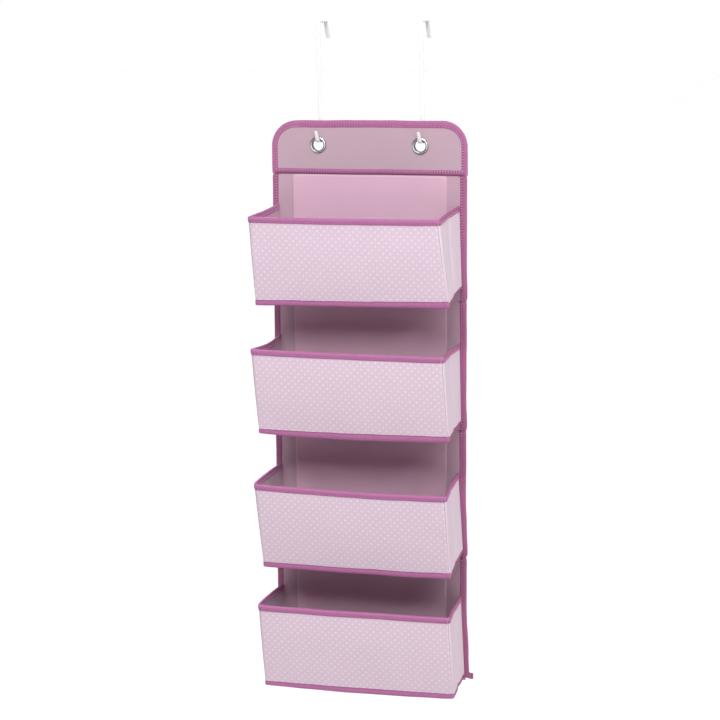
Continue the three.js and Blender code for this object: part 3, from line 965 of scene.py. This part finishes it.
class Pocket:
    """One pocket's walls as a curved surface: left side, round the front, right side.

    All numbers are millimetres, and pairs are for the left and the right end. rim and floor are
    how far each front corner has settled from its box (to the right, up); rim_out and floor_out
    are forwards. Each back corner is its place across and how far it has settled upwards. hang is
    how far the base binding hangs below the front at its left, middle and right; lap is how much
    further up the front it reaches. sag is how much lower each side's rim hangs in its middle,
    and rim_sag the front's. flare is how far the left side's rim stands out.
    """

    def __init__(
        self, k, rim, floor, rim_out, floor_out, back_rim, back_floor, sag, hang, lap, flare=0, rim_sag=0.6,
    ):
        low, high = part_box(f"gusset_left_{k}")
        self.k = k
        self.tops, self.bottoms = ends(rim, 1, high.z), ends(floor, 1, low.z)
        self.rim_x, self.floor_x = ends(rim, 0, half=FRONT_HALF), ends(floor, 0, half=FRONT_HALF)
        self.rim_depth = RIM_DEPTH + rim_out * MM
        self.floor_depth = FLOOR_DEPTH + floor_out * MM
        self.back_rim_x, self.back_floor_x = ends(back_rim, 0), ends(back_floor, 0)
        self.back_tops, self.back_bottoms = ends(back_rim, 1, high.z), ends(back_floor, 1, low.z)
        self.flare = {-1: flare * MM, 1: 0.0}
        self.sag = {-1: sag[0] * MM, 1: sag[1] * MM}
        self.hang, self.lap, self.rim_sag = hang, lap * MM, rim_sag * MM

    def base_hang(self, s):
        """How far the base binding hangs below the front, s running across it."""
        left, middle, right = self.hang
        hang = left * (1 - s) * (1 - 2 * s) + 4 * middle * s * (1 - s) + right * s * (2 * s - 1)
        return (hang - 1.2 * smooth((s - 0.93) / 0.07)) * MM

    def corners(self, side, t):
        """The back end of a side, where its corner starts, the corner, and where it ends."""
        back = np.array([lerp(self.back_floor_x[side], self.back_rim_x[side], t), POCKET_BACK - 1.0 * MM])
        depth = lerp(self.floor_depth, self.rim_depth, t) + 1.5 * MM * math.sin(math.pi * t)
        tip = np.array([lerp(self.floor_x[side], self.rim_x[side], t), POCKET_BACK - depth])
        reach = lerp(3.5 * MM, 8 * MM, t)
        start = tip + unit(back - tip) * reach
        return back, start, tip, tip - np.array([side * reach, 0.0])

    def side_point(self, side, u, t):
        """A point of a side, u running from the back to the corner and t from floor to rim."""
        back, start, *_ = self.corners(side, t)
        x, y = lerp(back, start, u)
        belly = math.sin(math.pi * u)
        crease = bell(u, 0.52, 0.055) + 0.5 * bell(u, 0.14, 0.05)
        wave = ripple(u * 3.2, t * 2.2, self.k + (10 if side > 0 else 20))
        calm = 1 - 0.8 * float(smooth((t - 0.75) / 0.25))
        inwards = 2.0 * belly * (0.4 + 0.6 * t)
        inwards += calm * (2.4 * crease * (0.35 + 0.65 * t) + 1.3 * wave * belly)
        x -= side * (inwards * MM - self.flare[side] * belly**0.7 * t**2)
        bottom = lerp(self.back_bottoms[side], self.bottoms[side], u ** 1.3)
        top = lerp(self.back_tops[side], self.tops[side], u) - self.sag[side] * math.sin(math.pi * u ** 0.8)
        return np.array([x, y, lerp(bottom, top, t)])

    def front_point(self, s, t):
        """A point of the front, s running from the left corner's start to the right one's."""
        left, right = self.corners(-1, t), self.corners(1, t)
        if s < CORNER_TURN:
            x, y = bend(*left[1:], s / CORNER_TURN)
        elif s > 1 - CORNER_TURN:
            x, y = bend(*right[:0:-1], 1 - (1 - s) / CORNER_TURN)
        else:
            x, y = lerp(left[3], right[3], (s - CORNER_TURN) / (1 - 2 * CORNER_TURN))
        calm = float(smooth(min(s, 1 - s) / 0.05))
        bow = 1.4 * MM * math.sin(math.pi * s) * math.sin(math.pi * (0.1 + 0.8 * t))
        wave = 0.8 * MM * ripple(s * 4, t * 2, self.k + 70) + 0.2 * MM * ripple(s * 14, t * 6, self.k + 75)
        seam = bell(s, 0.945, 0.012) * (0.5 + 0.35 * ripple(0, t * 14, self.k + 79))
        y -= (bow + wave) * calm - seam * MM
        middle = math.sin(math.pi * s)
        bottom = lerp(self.bottoms[-1], self.bottoms[1], s) + 0.7 * MM * ripple(s * 6, 0, self.k + 80)
        top = lerp(self.tops[-1], self.tops[1], s) + 0.5 * MM * ripple(s * 5, 0, self.k + 85)
        return np.array([x, y, lerp(bottom - 0.8 * MM * middle, top - self.rim_sag * middle, t)])


POCKETS = [
    Pocket(1, rim=((-2, -3.5), (-8, -2.5)), floor=((-2, -6), (-1, -0.5)), rim_out=6, floor_out=-3,
           back_rim=((-144, 3), (140, 4)), back_floor=((-143, 8), (144, 12)), sag=(2.5, 0),
           hang=(0, 0, 2.2), lap=1.4, flare=4.5),
    Pocket(2, rim=((-1, -1), (-1, -3)), floor=((0.8, -2), (0.2, -0.5)), rim_out=5, floor_out=-1,
           back_rim=((-144, 0.5), (141, -6)), back_floor=((-143, 4), (143.5, 4.5)), sag=(4, 0),
           hang=(-0.5, 3.8, 2), lap=0),
    Pocket(3, rim=((2, -6), (3.5, -10)), floor=((5.5, -10), (2.5, -11)), rim_out=8.5, floor_out=-1,
           back_rim=((-144, -6), (139.5, -8)), back_floor=((-143, 1), (147.2, 1)), sag=(-0.5, 1),
           hang=(-0.5, 0.4, 1), lap=1.8, flare=4.5, rim_sag=1.9),
    Pocket(4, rim=((4, 4), (8, 3.5)), floor=((5.6, 0.8), (8.5, 2.4)), rim_out=2, floor_out=-1,
           back_rim=((-144, -3), (143.8, -4)), back_floor=((-143, 1), (150, 1.5)), sag=(-0.5, 1),
           hang=(-0.9, 1.9, 0.4), lap=0.5, flare=4),
]
CORNER_STATIONS = np.linspace(0, CORNER_TURN, 7)
FRONT_STATIONS = np.concatenate([
    CORNER_STATIONS[:-1], np.linspace(CORNER_TURN, 1 - CORNER_TURN, 76), 1 - CORNER_STATIONS[-2::-1],
])
SIDE_STATIONS = spread((0, 0.36, 12), (0.39, 0.65, 16), (0.68, 1, 12))
HEIGHTS = spread((0, 0.12, 5), (0.16, 0.84, 16), (0.88, 1, 5))


def front_grid(pocket, stations, heights):
    return np.array([[pocket.front_point(s, t) for t in heights] for s in stations])


def side_grid(pocket, side):
    grid = np.array([[pocket.side_point(side, u, t) for t in HEIGHTS] for u in SIDE_STATIONS])
    return grid if side < 0 else grid[::-1]


def behind(grid, depth):
    return grid - grid_normals(grid) * depth


def edge_frame(grid, at_top, outwards):
    """The line round a wall's rim or foot, moved out of the cloth, and the ways into and off it."""
    column = -1 if at_top else 0
    line = grid[:, column]
    inward = unit(grid[:, column + (-3 if at_top else 3)] - line)
    return line - inward * np.reshape(outwards, (-1, 1)), inward, grid_normals(grid)[:, column]


def ride_pocket(piece, body):
    """The piece moves with a body, and gets a mesh of its own."""
    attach(piece, body)
    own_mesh(piece)


def make_front(pocket):
    k = pocket.k
    grid = front_grid(pocket, FRONT_STATIONS, HEIGHTS)
    places = np.stack(np.meshgrid(FRONT_STATIONS, HEIGHTS, indexing="ij"), axis=-1)
    outer = sheet(f"front_cloth_{k}", grid, CLOTH, front_cloth, places)
    stand_in(f"front_panel_{k}")
    inner = sheet(f"front_lining_{k}", behind(grid, 2.5 * MM), CLOTH, inner_cloth)
    held = front_grid(pocket, np.linspace(0.06, 0.94, 40), np.linspace(0.08, 0.92, 12))
    stiff = sheet(f"front_card_{k}", behind(held, 0.9 * MM), 1.3 * MM, card)
    stand_in(f"front_board_{k}")
    middle = behind(grid, 1.5 * MM)
    edge = edge_frame(middle, True, 0.8 * MM)
    rim, rows = tape(f"rim_tape_{k}", *edge, RIM_BAND, RIM_HALF, rim_tape, 90 + k)
    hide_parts(f"rim_binding_{k}")
    hang = pocket.base_hang(FRONT_STATIONS)
    edge = edge_frame(middle, False, 1.0 * MM + hang)
    width = BASE_BAND + hang + pocket.lap
    base, _ = tape(f"base_tape_{k}", *edge, width, BASE_HALF, base_tape, 95 + k)
    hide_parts(f"base_binding_{k}")
    sewn_on = [rim, base, stitches(f"front_stitches_{k}", rows)]
    for piece in [outer, inner, stiff] + sewn_on:
        ride_pocket(piece, f"pocket_front_{k}")


def make_side(pocket, word, side):
    k = pocket.k
    grid = side_grid(pocket, side)
    wall = sheet(f"side_cloth_{word}_{k}", grid, CLOTH, side_cloth)
    stand_in(f"gusset_{word}_{k}")
    middle = behind(grid, 0.7 * MM)
    lining = sheet(f"side_lining_{word}_{k}", middle, CLOTH, inner_side_cloth)
    edge = edge_frame(middle, True, 1.2 * MM)
    # the right side's rim takes the darker copy of the tape, as painted shade
    rim_or_shaded_tape = shaded_wall_tape if side > 0 else rim_tape
    rim, rows = tape(f"side_rim_tape_{word}_{k}", *edge, RIM_BAND, SIDE_HALF, rim_or_shaded_tape, 100 + k)
    hang = pocket.base_hang(0 if side < 0 else 1) * SIDE_STATIONS**3
    hang = hang if side < 0 else hang[::-1]
    edge = edge_frame(middle, False, 1.0 * MM + hang)
    width = SIDE_BASE_BAND + hang
    base, _ = tape(f"side_base_tape_{word}_{k}", *edge, width, SIDE_HALF, shaded_wall_tape, 105 + k)
    sewn_on = [rim, base, stitches(f"side_stitches_{word}_{k}", rows)]
    for piece in [wall, lining] + sewn_on:
        ride_pocket(piece, f"tier_{k}")


FLOOR_SHARE = 0.03  # the floor's height between a wall's foot and its rim
FLOOR_FRONT = 0.9  # from here the floor follows the front's curve


def make_floor_panel(pocket):
    """The pocket's floor, cloth over card drawn as one thick sheet of cloth, let down a little in the
    middle.
    """
    k = pocket.k
    across, along = np.linspace(0, 1, 44), np.linspace(0, 1, 20)
    points = np.empty((len(across), len(along), 3))
    for j, v in enumerate(along):
        left, right = (pocket.side_point(side, v, FLOOR_SHARE) for side in (-1, 1))
        for i, u in enumerate(across):
            point = lerp(left, right, u)
            point[0] *= 0.992
            sag = 2.0 * MM * math.sin(math.pi * u) * math.sin(math.pi * min(1, v * 1.1))
            point[2] -= sag + 0.4 * MM * ripple(u * 5, v * 3, k + 60)
            if v > FLOOR_FRONT:
                front = pocket.front_point(lerp(0.05, 0.95, u), FLOOR_SHARE)
                share = float(smooth((v - FLOOR_FRONT) / (1 - FLOOR_FRONT)))
                point[1] = lerp(point[1], front[1] + 3.2 * MM, share)
            points[i, j] = point
    floor = sheet(f"floor_cloth_{k}", points[:, ::-1], 2.0 * MM, floor_cloth)
    stand_in(f"pocket_floor_{k}")
    ride_pocket(floor, f"tier_{k}")


# ---------------- assembly
for word, _ in SIDES:
    make_hook(word)
make_header()
for k in TIERS:
    make_tier(k)
bodies = ["header"] + [f"tier_{k}" for k in TIERS]
for index, (upper, lower) in enumerate(zip(bodies, bodies[1:])):
    make_fold(index, lower)
for pocket in POCKETS:
    make_front(pocket)
    for word, side in SIDES:
        make_side(pocket, word, side)
    make_floor_panel(pocket)
